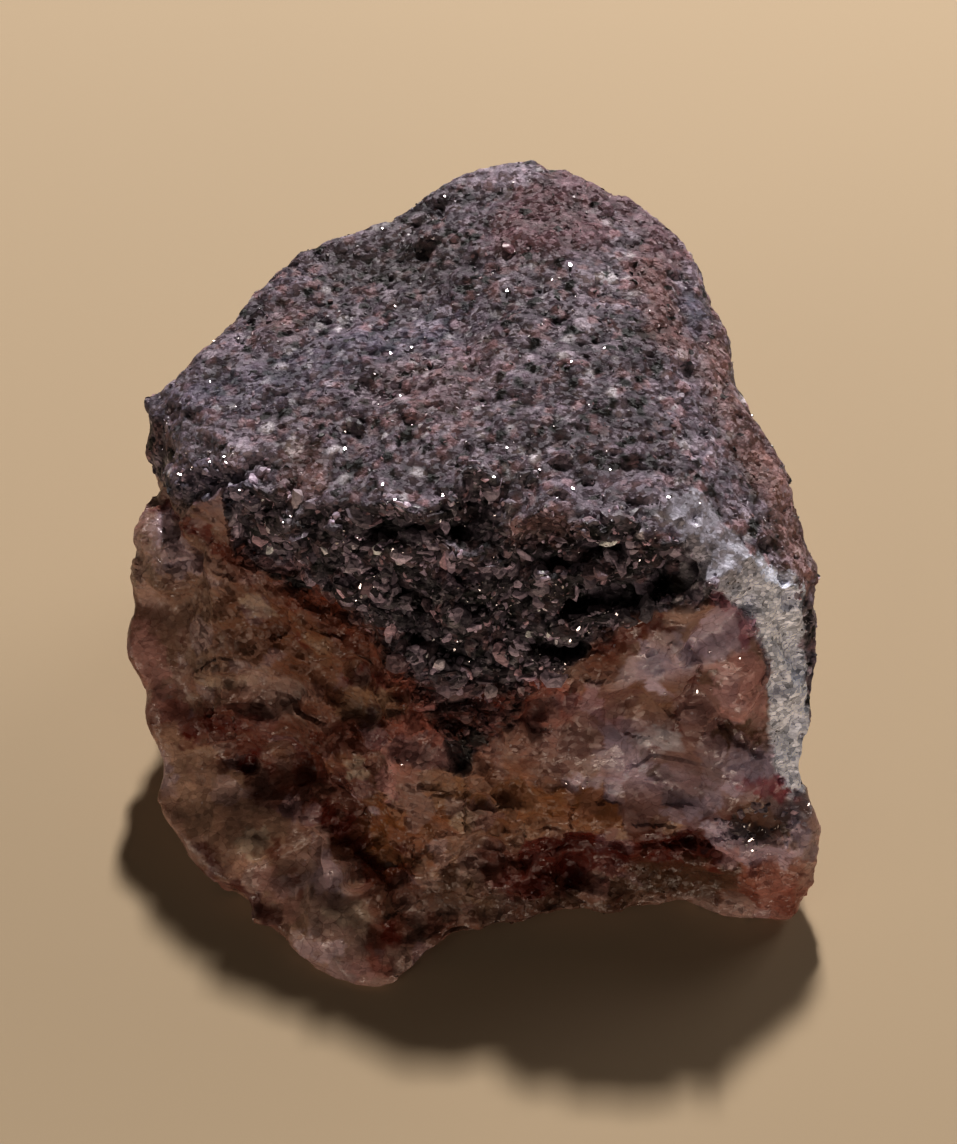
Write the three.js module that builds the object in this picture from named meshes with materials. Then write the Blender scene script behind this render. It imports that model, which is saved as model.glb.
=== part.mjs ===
// A rough hand specimen of massive quartz, broken on every side, with a dark granular crust over its top.
// Millimetres, +Z up. X runs left to right across the broken front, and the front faces -Y.
// The stone is one solid. It starts as a polyhedron through the stone's corners, whose edges are worn round.
// Chips, grains, crevices, pits and lumps are then raised on it, and it is cut off flat where it rests.
import * as THREE from 'three';
import { ConvexHull } from 'three/addons/math/ConvexHull.js';
import { ImprovedNoise } from 'three/addons/math/ImprovedNoise.js';
import { mergeVertices } from 'three/addons/utils/BufferGeometryUtils.js';

const HEART = new THREE.Vector3(0, -3, 7);    // every corner is in plain view from here
const REST_DEPTH = -1.2;                      // the underside's corners, cut off flat at z = 0
const EDGE_WEAR = 0.028;                      // radians at the heart, over which edges are worn round
const WEAR_SAMPLES = 6;

const SKIN_DETAIL = 21;                              // the skin has 20 * (SKIN_DETAIL + 1)^2 triangles
const CAGE_MIDDLE = new THREE.Vector3(0, 3, 17);     // an ellipsoid round the stone, dotted evenly with
const CAGE_REACH = new THREE.Vector3(27, 30, 18);    // points, one for each corner of a skin triangle
const SPREAD_ROUNDS = 80;                            // times that the points are evened out on the stone
const GROUND_FILM = 0.05;                            // lower than this is the flat that the stone rests on
const GROUND_WEIGHT = 0.15;                          // under 1, so that the flat has the largest triangles

// How each kind of skin is broken: into flat chips, with a finer unevenness over them.
const CRUST = { chipSize: 3.2, chipHeight: 0.8, grainSize: 1.7, grainHeight: 0.3 };
const QUARTZ = { chipSize: 5.5, chipHeight: 0.5, grainSize: 2.5, grainHeight: 0.3 };
const CONTACT_BLUR = [-0.5, 1];               // height over the contact where quartz turns into crust
const WEATHERED_SHARE = 0.4;                  // of the crust's relief, on all but its broken front
const RELIEF_START = 1.5;                     // the relief fades in over this height above the ground

// Corners where broken faces meet, by region, each [x, y, z].
const CORNERS = [
  // skyline, from the crest round the right side to the right foot
  [4.0, 29.7, 34.3], [7.4, 29.0, 33.9], [9.8, 27.6, 33.2], [13.5, 26.2, 32.3], [15.9, 24.8, 31.4],
  [17.3, 21.6, 30.6], [19.2, 16.4, 29.2], [20.2, 10.0, 27.6], [22.1, 6.3, 26.4], [23.9, 3.0, 24.8],
  [25.2, -0.4, 22.6], [26.0, -3.4, 20.2], [25.8, -7.0, 16.8], [25.7, -11.3, 12.7], [25.3, -14.6, 10.2],
  [25.2, -16.2, 8.8], [26.3, -18.4, 7.4], [25.9, -20.2, 3.6], [25.8, -20.9, 1.0],
  // skyline, from the crest round the left side to the left foot
  [1.0, 29.5, 34.1], [-2.3, 28.9, 33.6], [-4.3, 27.4, 32.8], [-6.7, 25.9, 31.9], [-8.7, 24.0, 30.9],
  [-10.9, 24.4, 30.8], [-13.4, 23.8, 30.4], [-16.9, 21.3, 29.4], [-18.2, 18.5, 28.6], [-21.9, 15.3, 27.5],
  [-23.2, 13.0, 27.0], [-24.4, 12.2, 26.3], [-26.6, 12.4, 24.8], [-26.6, 9.1, 22.6], [-25.8, 6.6, 22.0],
  [-26.9, 3.4, 19.2], [-27.1, -0.9, 14.8], [-28.6, -3.0, 12.8], [-28.4, -5.4, 11.0], [-26.6, -8.8, 8.8],
  [-26.0, -11.0, 7.4], [-26.6, -13.4, 6.2], [-25.8, -15.4, 5.0], [-23.9, -17.6, 4.2], [-18.6, -21.5, 2.6],
  [-14.0, -25.0, 0.9], [-11.9, -26.6, 0.4], [-9.9, -28.1, 0.2], [-8.0, -28.5, 0.2], [-6.0, -27.2, 0.3],
  // upper face: a trough runs back to the dip in the left skyline, a low ridge runs to the crest
  [4.1, 22.6, 33.9], [-3.9, 21.8, 31.0], [2.1, 18.5, 32.3], [7.5, 17.7, 33.1], [-12.1, 18.0, 30.2],
  [-17.9, 13.2, 28.3], [-12.4, 14.1, 29.0], [-3.8, 14.5, 30.0], [3.2, 11.3, 31.7], [13.4, 15.0, 31.9],
  [-21.6, 9.5, 27.0], [-13.7, 8.3, 28.2], [-5.9, 6.0, 29.5], [1.6, 4.8, 30.7], [9.1, 4.9, 31.2],
  [14.4, 5.6, 30.4], [18.0, 6.8, 28.7], [-22.5, 5.2, 25.9], [-17.0, 3.8, 26.9], [-9.7, 2.7, 28.1],
  [-2.1, 1.1, 29.2], [5.3, 0.3, 30.1], [11.9, 0.0, 29.9], [16.4, -0.8, 28.5], [20.5, -0.7, 26.2],
  // brow of the upper face, left to right
  [-23.7, 2.8, 23.4], [-18.5, 1.1, 25.0], [-13.4, -0.5, 26.2], [-8.6, -2.1, 27.1], [-3.9, -3.3, 27.8],
  [4.9, -4.6, 28.4], [12.4, -6.1, 28.4], [15.8, -6.2, 27.4], [19.6, -6.4, 25.4], [23.4, -6.3, 22.4],
  // broken front of the crust, under the brow
  [-21.5, 1.2, 21.2], [-15.8, -1.7, 22.2], [-11.2, -3.7, 22.8], [-6.2, -4.6, 23.9], [-1.4, -6.0, 24.4],
  [3.1, -7.5, 24.4], [8.2, -8.2, 23.6], [12.6, -8.4, 23.8], [17.0, -8.4, 24.4], [21.4, -8.0, 21.0],
  [-17.5, -4.0, 18.4], [-11.3, -6.3, 18.8], [-5.9, -8.3, 18.9], [-0.6, -9.8, 19.0], [4.6, -10.3, 19.0],
  [13.4, -10.1, 20.6], [22.8, -9.2, 17.6],
  // left flank of the quartz
  [-22.9, 1.1, 18.9], [-23.7, -1.7, 15.6], [-24.6, -4.5, 12.8], [-20.4, -5.9, 14.0], [-23.4, -7.4, 10.2],
  [-19.0, -8.7, 10.6], [-14.5, -8.2, 13.8],
  // front of the quartz
  [-9.8, -10.0, 15.0], [-11.4, -12.0, 11.2], [-16.3, -10.6, 8.6], [-5.9, -12.2, 15.4], [-0.6, -14.1, 14.8],
  [4.6, -13.0, 15.2], [9.9, -12.5, 15.8], [19.2, -12.0, 16.4], [-10.2, -14.8, 9.2], [-5.9, -15.4, 11.4],
  [0.1, -16.0, 11.0], [10.7, -15.2, 11.8], [20.2, -14.9, 12.0], [23.6, -15.0, 10.8],
  // lower edge of the shelf
  [-8.5, -17.6, 6.6], [-6.2, -19.7, 5.2], [-2.9, -19.9, 5.0], [0.9, -19.0, 5.8], [6.2, -18.5, 6.9],
  [10.8, -18.2, 7.3], [16.7, -18.1, 7.8],
  // left toe and the groove behind it
  [-14.0, -11.4, 7.0], [-11.2, -15.9, 4.6], [-8.0, -20.1, 3.4], [-22.5, -12.0, 7.2], [-20.4, -15.7, 5.8],
  [-17.2, -18.7, 4.7], [-13.7, -20.9, 4.0], [-10.2, -22.7, 3.4], [-9.0, -26.2, 2.1], [-6.4, -23.4, 2.4],
  [-4.9, -25.6, 1.2],
  // hollow under the shelf, and the lip below it
  [-3.0, -21.6, 3.4], [1.7, -20.8, 3.7], [6.3, -20.2, 3.9], [11.0, -19.8, 4.1], [15.6, -19.6, 4.3],
  [19.1, -19.8, 3.4], [-3.2, -25.0, 1.7], [0.1, -24.3, 2.0], [4.7, -23.7, 2.2], [9.3, -23.0, 2.3],
  [13.3, -22.1, 2.1], [17.3, -21.6, 1.5], [19.9, -21.6, 0.8],
  // right foot
  [17.4, -18.6, 8.0], [19.1, -17.4, 9.0], [22.6, -16.6, 9.2], [20.3, -19.1, 7.4], [24.0, -18.8, 7.0],
  [19.7, -20.2, 5.0], [22.8, -20.9, 3.8], [22.0, -22.0, 0.3], [24.5, -21.9, 0.3],
  // back, from the left side round to the right side: bulges and hollows, then a waist above the ground
  [-25.5, 9.0, 15.5], [-21.0, 19.0, 13.0], [-21.5, 15.5, 21.5], [-12.5, 26.5, 18.0], [-3.0, 27.5, 12.5],
  [-2.0, 28.5, 26.0], [7.5, 30.0, 20.5], [15.0, 24.0, 13.0], [16.5, 22.0, 23.0], [20.5, 14.0, 17.5],
  [21.0, 6.0, 12.5], [24.3, -3.0, 12.0],
  [-24.5, 3.0, 8.0], [-22.5, 12.5, 6.0], [-13.5, 21.0, 8.0], [-5.0, 25.0, 5.0], [8.5, 26.0, 8.5],
  [15.0, 19.0, 5.0], [20.5, 9.0, 6.5], [22.5, -4.0, 5.0], [24.0, -13.0, 4.0],
  // underside
  [-22.0, -10.0, 1.5], [-20.0, -1.0, REST_DEPTH], [-18.0, 9.0, REST_DEPTH], [-10.0, 17.0, REST_DEPTH],
  [2.0, 21.0, REST_DEPTH], [11.0, 18.0, REST_DEPTH], [16.0, 8.0, REST_DEPTH], [18.0, -5.0, REST_DEPTH],
  [20.0, -16.0, REST_DEPTH], [-18.0, -16.0, REST_DEPTH],
  [-12.0, -24.5, REST_DEPTH], [-8.5, -27.4, REST_DEPTH],
  [-6.0, -24.0, REST_DEPTH], [-3.0, -15.0, REST_DEPTH], [6.0, -13.0, REST_DEPTH], [13.0, -13.5, REST_DEPTH],
  [-1.0, -20.5, 0.9], [6.0, -20.0, 1.2], [13.0, -19.0, 1.0],
  [22.0, -21.4, REST_DEPTH], [24.6, -20.8, REST_DEPTH], [0.0, 2.0, REST_DEPTH],
].map((corner) => new THREE.Vector3(...corner));

// Where the crust ends and the quartz begins, across the front: [x, z], left to right.
const CONTACT = [
  [-27, 24.5], [-22, 24], [-11, 20], [-6, 17], [-0.6, 13.2], [4.6, 17], [8.3, 20], [12, 22.3], [17, 23],
  [20, 18], [26, 10],
];

// Crevices: [from, to, half width, depth].
const CREVICES = [
  // under the brow of the crust
  [[-7.5, -3.0, 26.2], [-1.4, -4.4, 27.0], 1.3, 1.0],
  [[5.8, -6.0, 27.2], [11.8, -6.9, 26.6], 1.3, 1.1],
  [[7.0, -8.2, 23.5], [15.5, -7.2, 25.6], 1.8, 1.9],
  [[-2.9, -5.3, 24.7], [-0.6, -6.4, 24.2], 1.2, 0.9],
  // the groove that parts the left toe from the front
  [[-14.0, -11.6, 8.0], [-10.4, -16.4, 7.0], 1.5, 1.1],
  [[-10.4, -16.4, 7.0], [-6.6, -20.6, 4.4], 1.5, 1.1],
  // a crack in the clear quartz, and the hollow under the shelf
  [[16.6, -11.6, 17.1], [19.7, -13.8, 13.7], 1.3, 0.8],
  [[3.5, -20.4, 4.6], [9.5, -19.9, 4.8], 1.8, 1.2],
  // seams in the hidden back
  [[-19.0, 19.0, 22.0], [-8.0, 27.0, 9.0], 2.0, 1.0],
  [[10.0, 28.0, 16.0], [20.0, 13.0, 10.0], 2.0, 1.0],
];

// Lumps and hollows: [middle, reach, height], a hollow with its height below zero.
const SWELLS = [
  // upper face
  [[-10.0, 19.5, 30.8], 6.5, -1.0],
  [[-2.2, 13.3, 30.2], 5.0, -0.6],
  [[7.7, 10.0, 31.9], 7.0, 0.5],
  // round pits and the black pocket of the front
  [[-17.9, -11.6, 7.3], 2.0, -1.3],
  [[-9.4, -9.4, 16.0], 1.8, -0.9],
  [[-1.4, -14.8, 13.2], 2.0, -0.9],
  // lumps on the shelf and on the crust's broken front
  [[-5.2, -14.9, 12.5], 2.6, 0.8],
  [[-2.6, -6.6, 23.2], 2.4, 0.9],
  // lumps along the left toe, and the bulge of the left side
  [[-17.3, -17.9, 5.0], 2.4, 0.8],
  [[-14.6, -20.2, 3.4], 2.2, 0.7],
  [[-10.6, -23.6, 2.6], 2.4, 0.9],
  [[-26.9, -4.0, 11.7], 3.5, 0.7],
  // clear quartz of the front
  [[12.7, -10.6, 19.5], 4.0, 0.6],
  [[9.2, -14.6, 13.5], 4.0, 0.6],
];

const smoothstep = THREE.MathUtils.smoothstep;

// ---- The stone's broken shape ----

// The faces of the polyhedron, each with its three corners measured from the heart. Corners are joined as the
// convex hull joins their directions, which covers every direction once.
function facetsThrough(corners) {
  const armOf = new Map(corners.map((corner) => {
    const arm = corner.clone().sub(HEART);
    return [arm.clone().normalize(), arm];
  }));
  const hull = new ConvexHull().setFromPoints([...armOf.keys()]);
  const sideThrough = (from, to) => new THREE.Vector3().crossVectors(from, to).normalize();
  return hull.faces.map((face) => {
    const edges = [face.edge, face.edge.next, face.edge.next.next];
    const [a, b, c] = edges.map((edge) => armOf.get(edge.head().point));
    return {
      corner: a,
      normal: new THREE.Vector3().crossVectors(b.clone().sub(a), c.clone().sub(a)),
      sides: [sideThrough(a, b), sideThrough(b, c), sideThrough(c, a)],
    };
  });
}

const FACETS = facetsThrough(CORNERS);

// How far the polyhedron reaches from the heart in a direction.
function facetRadius(direction) {
  let best = FACETS[0];
  let bestInside = -Infinity;
  for (const facet of FACETS) {
    const [first, second, third] = facet.sides;
    const inside = Math.min(first.dot(direction), second.dot(direction), third.dot(direction));
    if (inside > bestInside) [best, bestInside] = [facet, inside];
    if (inside >= 0) break;
  }
  return best.normal.dot(best.corner) / best.normal.dot(direction);
}

// The same, as a mean over a small ring of directions, which wears the edges between the facets round.
function wornRadius(direction) {
  const east = new THREE.Vector3(0, 0, 1).cross(direction).normalize();
  const north = direction.clone().cross(east);
  let sum = 2 * facetRadius(direction);
  for (let sample = 0; sample < WEAR_SAMPLES; sample++) {
    const turn = (sample / WEAR_SAMPLES) * 2 * Math.PI;
    const aside = east.clone().multiplyScalar(Math.cos(turn)).addScaledVector(north, Math.sin(turn));
    sum += facetRadius(direction.clone().addScaledVector(aside, EDGE_WEAR).normalize());
  }
  return sum / (WEAR_SAMPLES + 2);
}

// ---- Relief ----

const lattice = new ImprovedNoise();

// A fraction from 0 to 1 that looks random, the same each time for the same cell and salt.
function scatter(i, j, k, salt) {
  const wave = Math.sin(i * 127.1 + j * 311.7 + k * 74.7 + salt * 53.9) * 43758.5453;
  return wave - Math.floor(wave);
}

// A seed point and a tilt for each cell of a grid, both in parts of a cell.
function chipIn(i, j, k) {
  const seed = new THREE.Vector3(i + scatter(i, j, k, 1), j + scatter(i, j, k, 2), k + scatter(i, j, k, 3));
  const tilt = new THREE.Vector3(scatter(i, j, k, 4), scatter(i, j, k, 5), scatter(i, j, k, 6));
  return { seed, tilt: tilt.subScalar(0.5) };
}

// The height of a skin broken into flat chips, each about one size across and tilted its own way: the chip
// whose seed is nearest sets it.
function chipHeight(point, size) {
  const cell = point.clone().divideScalar(size).floor();
  let nearest = Infinity;
  let height = 0;
  for (let i = cell.x - 1; i <= cell.x + 1; i++) {
    for (let j = cell.y - 1; j <= cell.y + 1; j++) {
      for (let k = cell.z - 1; k <= cell.z + 1; k++) {
        const { seed, tilt } = chipIn(i, j, k);
        const away = point.clone().addScaledVector(seed, -size);
        if (away.length() < nearest) [nearest, height] = [away.length(), away.dot(tilt)];
      }
    }
  }
  return height;
}

function brokenHeight(point, kind) {
  const grain = lattice.noise(...point.clone().divideScalar(kind.grainSize));
  return kind.chipHeight * chipHeight(point, kind.chipSize) + kind.grainHeight * grain;
}

function contactHeight(x) {
  const right = Math.max(1, CONTACT.findIndex(([edge]) => edge > x));
  const [[leftX, leftZ], [rightX, rightZ]] = [CONTACT[right - 1], CONTACT[right]];
  return THREE.MathUtils.mapLinear(x, leftX, rightX, leftZ, rightZ);
}

// How far the skin rises over the worn polyhedron at a point.
function reliefAt(point, normal) {
  const crust = smoothstep(point.z - contactHeight(point.x), ...CONTACT_BLUR);
  const freshness = THREE.MathUtils.lerp(WEATHERED_SHARE, 1, smoothstep(-normal.y, 0.3, 0.7));
  let height = crust * freshness * brokenHeight(point, CRUST) + (1 - crust) * brokenHeight(point, QUARTZ);
  for (const [from, to, halfWidth, depth] of CREVICES) {
    const line = new THREE.Line3(new THREE.Vector3(...from), new THREE.Vector3(...to));
    const onLine = line.closestPointToPoint(point, true, new THREE.Vector3());
    height -= depth * (1 - smoothstep(onLine.distanceTo(point), 0, halfWidth));
  }
  for (const [middle, reach, swell] of SWELLS) {
    height += swell * (1 - smoothstep(new THREE.Vector3(...middle).distanceTo(point), 0, reach));
  }
  return height * smoothstep(point.z, 0, RELIEF_START);
}

// ---- The skin ----

// Sends a point straight out from the heart, or in, to the polyhedron, and no lower than the ground.
function cast(point, radiusOf) {
  const direction = point.clone().sub(HEART).normalize();
  const ground = direction.z < 0 ? HEART.z / -direction.z : Infinity;
  return point.copy(HEART).addScaledVector(direction, Math.min(radiusOf(direction), ground));
}

// Slides the points along the skin until the triangles round each are about equal.
function spread(points, index) {
  const triangle = new THREE.Triangle();
  const shares = points.map(() => ({ sum: new THREE.Vector3(), weight: 0 }));
  for (let start = 0; start < index.count; start += 3) {
    const trio = [index.getX(start), index.getX(start + 1), index.getX(start + 2)];
    triangle.set(...trio.map((at) => points[at]));
    const middle = triangle.getMidpoint(new THREE.Vector3());
    const weight = triangle.getArea() * (middle.z < GROUND_FILM ? GROUND_WEIGHT : 1);
    for (const at of trio) {
      shares[at].sum.addScaledVector(middle, weight);
      shares[at].weight += weight;
    }
  }
  points.forEach((point, at) => {
    cast(point.copy(shares[at].sum).divideScalar(shares[at].weight), facetRadius);
  });
}

function stoneGeometry() {
  const sphere = new THREE.IcosahedronGeometry(1, SKIN_DETAIL);
  sphere.deleteAttribute('normal');
  sphere.deleteAttribute('uv');
  const skin = mergeVertices(sphere);
  const position = skin.getAttribute('position');
  const points = [];
  for (let at = 0; at < position.count; at++) {
    const seat = new THREE.Vector3().fromBufferAttribute(position, at).multiply(CAGE_REACH).add(CAGE_MIDDLE);
    points.push(cast(seat, facetRadius));
  }
  for (let round = 0; round < SPREAD_ROUNDS; round++) spread(points, skin.index);
  points.forEach((point, at) => position.setXYZ(at, ...cast(point, wornRadius)));
  skin.computeVertexNormals();

  const normals = skin.getAttribute('normal').clone();
  points.forEach((point, at) => {
    const normal = new THREE.Vector3().fromBufferAttribute(normals, at);
    point.addScaledVector(normal, reliefAt(point, normal));
    position.setXYZ(at, point.x, point.y, Math.max(point.z, 0));
  });
  skin.computeVertexNormals();
  return skin;
}

const stone = new THREE.Mesh(stoneGeometry(), new THREE.MeshStandardMaterial({
  color: 0x7d5a55, roughness: 0.6, metalness: 0,
}));
stone.name = 'quartz_stone';

// The origin is under the middle of the stone, on the ground.
const extent = new THREE.Box3().setFromObject(stone);
const middle = extent.getCenter(new THREE.Vector3());
stone.position.set(-middle.x, -middle.y, 0);

const group = new THREE.Group();
group.add(stone);

export default group;
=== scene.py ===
"""The looks of a rough lump of quartz with a dark granular crust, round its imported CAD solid.

Everything is worked out in millimetres in the part's own frame and scaled to metres when a mesh is made.
Places that show in the photograph are given as its pixels, in its 957 by 1144 frame, and are carried on to
the stone by a ray from the camera, so that whatever is placed there lies on the stone's own skin.
"""
import math

import bmesh
import bpy
import numpy as np
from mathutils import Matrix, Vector
from mathutils.bvhtree import BVHTree


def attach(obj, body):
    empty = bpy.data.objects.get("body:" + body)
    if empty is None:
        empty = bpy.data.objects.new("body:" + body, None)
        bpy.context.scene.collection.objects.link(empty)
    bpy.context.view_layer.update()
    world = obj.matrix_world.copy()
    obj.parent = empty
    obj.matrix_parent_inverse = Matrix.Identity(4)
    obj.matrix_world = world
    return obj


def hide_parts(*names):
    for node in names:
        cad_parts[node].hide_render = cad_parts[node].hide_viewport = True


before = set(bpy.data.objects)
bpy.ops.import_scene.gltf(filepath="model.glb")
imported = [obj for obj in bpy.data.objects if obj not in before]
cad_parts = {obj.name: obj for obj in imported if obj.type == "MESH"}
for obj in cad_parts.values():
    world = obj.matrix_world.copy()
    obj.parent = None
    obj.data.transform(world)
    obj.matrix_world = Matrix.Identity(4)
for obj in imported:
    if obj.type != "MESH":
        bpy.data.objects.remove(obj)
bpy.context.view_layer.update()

MM = 0.001
STONE = "quartz_stone"

# ---- The photograph's view ----

PHOTO_WIDTH, PHOTO_HEIGHT = 957, 1144
SENSOR = 36.0                                # mm, along the photograph's long side
LENS = 70.0                                  # mm
VIEW_ELEVATION = math.radians(50)
VIEW_DISTANCE = 161.0                        # mm, from the lens to the point looked at
LOOKED_AT = np.array([1.0, -9.9, 27.0])      # mm
FORWARD = np.array([0, math.cos(VIEW_ELEVATION), -math.sin(VIEW_ELEVATION)])
UPWARD = np.array([0, math.sin(VIEW_ELEVATION), math.cos(VIEW_ELEVATION)])
RIGHTWARD = np.array([1.0, 0, 0])
TO_EYE = Vector(-FORWARD)
EYE = LOOKED_AT - VIEW_DISTANCE * FORWARD
FOCAL_PIXELS = LENS / SENSOR * PHOTO_HEIGHT
PIXELS_PER_MM = FOCAL_PIXELS / VIEW_DISTANCE


def make_camera():
    """The camera stands where the photograph was taken from."""
    lens = bpy.data.cameras.new("camera")
    lens.lens = LENS
    lens.sensor_width = SENSOR
    lens.clip_start, lens.clip_end = 0.01, 10
    camera = bpy.data.objects.new("camera", lens)
    camera.location = Vector(EYE * MM)
    camera.rotation_euler = Vector(FORWARD).to_track_quat("-Z", "Y").to_euler()
    bpy.context.collection.objects.link(camera)
    bpy.context.scene.camera = camera


# ---- Numbers that look random, the same on every run ----

def scatter(cells, salt):
    """A number from 0 to 1 for each row of three whole numbers."""
    mixed = cells[..., 0] * 73856093 ^ cells[..., 1] * 19349663 ^ cells[..., 2] * 83492791 ^ salt * 40503
    mixed = (mixed & 0xFFFFFFFF) * 2654435761 & 0xFFFFFFFF
    mixed = ((mixed >> 15) ^ mixed) * 2246822519 & 0xFFFFFFFF
    return ((mixed >> 13) ^ mixed & 0xFFFFFF) % 0x1000000 / 0xFFFFFF


def ramp(values, low, high):
    """0 under low, 1 over high, and smooth between."""
    share = np.clip((values - low) / (high - low), 0, 1)
    return share * share * (3 - 2 * share)


def mix(first, second, share):
    return first + (second - first) * share


def mix_colour(first, second, share):
    return first + (second - first) * np.reshape(share, (-1, 1))


def wave_noise(points, size, salt):
    """Smooth noise from -1 to 1, its waves about one size long."""
    place = points / size
    corner = np.floor(place).astype(np.int64)
    share = place - corner
    share = share * share * (3 - 2 * share)
    total = np.zeros(len(points))
    for step in np.ndindex(2, 2, 2):
        weight = np.prod(np.where(step, share, 1 - share), axis=1)
        total += weight * scatter(corner + np.array(step), salt)
    return total * 2 - 1


def cloud_noise(points, size, salt, layers=3):
    """Smooth noise with finer and finer waves added, about -1 to 1."""
    total = np.zeros(len(points))
    for layer in range(layers):
        total += wave_noise(points, size / 2**layer, salt + 17 * layer) / 2**layer
    return total / 1.5


def scoops(points, size, bowl, tilt, step_height, salt, stretch=(1, 1, 1)):
    """Bowls about one size across that meet in sharp ridges, as stone breaks.

    Gives each point's height in millimetres, about zero on average, and its bowl's cell and seed."""
    scale = size * np.array(stretch)
    place = points / scale
    home = np.floor(place).astype(np.int64)
    lowest = np.full(len(points), np.inf)
    owner = np.zeros_like(home)
    seeds = np.zeros_like(place)
    for shift in np.ndindex(3, 3, 3):
        cell = home + np.array(shift) - 1
        draw = np.stack([scatter(cell, salt + number) for number in range(7)], 1)
        seed = cell + draw[:, :3]
        away = place - seed
        height = bowl * (away**2).sum(1) + 2 * tilt * ((draw[:, 3:6] - 0.5) * away).sum(1)
        height += step_height * (draw[:, 6] - 0.5)
        lower = height < lowest
        lowest = np.where(lower, height, lowest)
        owner[lower] = cell[lower]
        seeds[lower] = seed[lower]
    return (lowest - lowest.mean()) * size, owner, seeds * scale


# ---- The stone's solid, as the frame gives it ----

class Solid:
    """The CAD solid as a mesh of shared corners, in millimetres, with a way to find its skin by a ray."""

    def __init__(self, node):
        shell = bmesh.new()
        shell.from_mesh(node.data)
        bmesh.ops.remove_doubles(shell, verts=shell.verts, dist=1e-6)
        bmesh.ops.scale(shell, verts=shell.verts, vec=(1 / MM,) * 3)
        self.shell = shell
        self.tree = BVHTree.FromBMesh(shell)

    def at_pixel(self, pixel):
        """The point of the skin that shows at a pixel of the photograph."""
        u, v = pixel
        across = (u - PHOTO_WIDTH / 2) / FOCAL_PIXELS
        up = (PHOTO_HEIGHT / 2 - v) / FOCAL_PIXELS
        ray = FORWARD + across * RIGHTWARD + up * UPWARD
        hit = self.tree.ray_cast(Vector(EYE), Vector(ray).normalized())[0]
        if hit is None:                      # just off the outline: the skin nearest to it
            hit = self.tree.find_nearest(Vector(EYE + ray * VIEW_DISTANCE))[0]
        return np.array(hit)


solid = Solid(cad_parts[STONE])


def distance_to(points, pixels):
    """How far the points are from a line that runs over the skin through these pixels, or from one spot."""
    path = [solid.at_pixel(pixel) for pixel in pixels]
    if len(path) == 1:
        return np.linalg.norm(points - path[0], axis=1)
    best = np.full(len(points), np.inf)
    for start, end in zip(path, path[1:]):
        run = end - start
        share = np.clip((points - start) @ run / (run @ run), 0, 1)
        best = np.minimum(best, np.linalg.norm(points - start - share[:, None] * run, axis=1))
    return best


# ---- Where the crust ends ----

# The contact of crust and quartz across the front, left to right, in the photograph's pixels.
CONTACT_PIXELS = [
    (150, 492), (178, 508), (232, 560), (290, 590), (345, 625), (385, 670), (425, 715), (470, 752),
    (520, 705), (560, 672), (600, 640), (650, 612), (715, 600), (757, 640), (768, 700), (772, 760),
    (790, 800),
]
BACK_CONTACT = 17.0                          # mm above the ground, on the hidden sides


def crust_share(points):
    """1 on the crust, 0 on the quartz."""
    line = np.array([solid.at_pixel(pixel) for pixel in CONTACT_PIXELS])
    order = np.argsort(line[:, 0])
    front = np.interp(points[:, 0], line[order, 0], line[order, 2])
    back = ramp(points[:, 1], 2, 10)
    contact = mix(front, BACK_CONTACT + 2.5 * wave_noise(points, 9, 302), back)
    ragged = 0.7 * cloud_noise(points, 2.4, 301)
    return ramp(points[:, 2] - contact + ragged, -0.3, 0.3)


def broken_share(points, facing):
    """1 on the crust's broken front, which stands in steps, 0 on its worn top."""
    return ramp(-facing[:, 1], 0.3, 0.7) * ramp(points[:, 0], -27, -17)


# ---- Fine relief ----

# Clefts under the brow of the crust, painted black as shade: [pixels along one, half width mm, depth mm].
CLEFTS = [
    [[(372, 536), (410, 530), (462, 531)], 0.8, 1.6],
    [[(548, 562), (590, 552), (640, 546)], 0.7, 1.4],
    [[(572, 606), (612, 596), (652, 588), (690, 572)], 1.0, 2.2],
    [[(505, 602), (530, 596)], 0.55, 1.0],
    [[(395, 588), (425, 600)], 0.6, 1.1],
    [[(418, 640), (455, 655), (500, 662)], 0.55, 1.0],
    [[(520, 640), (560, 655), (585, 650)], 0.6, 1.1],
    [[(440, 560), (462, 578)], 0.55, 0.9],
    [[(455, 745), (462, 765)], 0.7, 0.8],
]
# Cracks and grooves in the quartz, the same way.
CRACKS = [
    [[(700, 668), (690, 690), (672, 712)], 0.3, 0.35],
    [[(722, 722), (742, 740), (760, 752)], 0.45, 0.6],
    [[(640, 745), (625, 775), (600, 800)], 0.25, 0.3],
    # behind the left toe
    [[(318, 765), (345, 800), (372, 850), (398, 878)], 0.9, 0.9],
    # the edge under the shelf
    [[(400, 878), (470, 858), (520, 862), (560, 850), (620, 846), (690, 842)], 0.45, 0.5],
]
# The pale, finely wrinkled crust down the right side.
PALE_BAND = [(690, 512), (715, 545), (745, 580), (775, 600), (785, 650), (790, 710), (797, 765)]
PALE_REACH = 2.2                             # mm


def pale_share(points):
    """1 on the pale crust, 0 off it."""
    edge = distance_to(points, PALE_BAND) / PALE_REACH + 0.3 * cloud_noise(points, 1.6, 605)
    return 1 - ramp(edge, 0.85, 1.05)


def wander(points, fine):
    """How far the edges of clefts, cracks and pits stray, in millimetres, with finer bends as asked."""
    return fine * cloud_noise(points, 1.0, 570) + CLEFT_WANDER * wave_noise(points, 1.7, 575)


def open_share(points):
    """1 away from the clefts, 0 in them, where no grains lie and the colour is painted black as shade."""
    clear = np.full(len(points), np.inf)
    stray = wander(points, 0.25)
    for pixels, half_width, _ in CLEFTS:
        clear = np.minimum(clear, (distance_to(points, pixels) + stray) / half_width)
    return ramp(clear, 0.55, 1.1)


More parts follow.
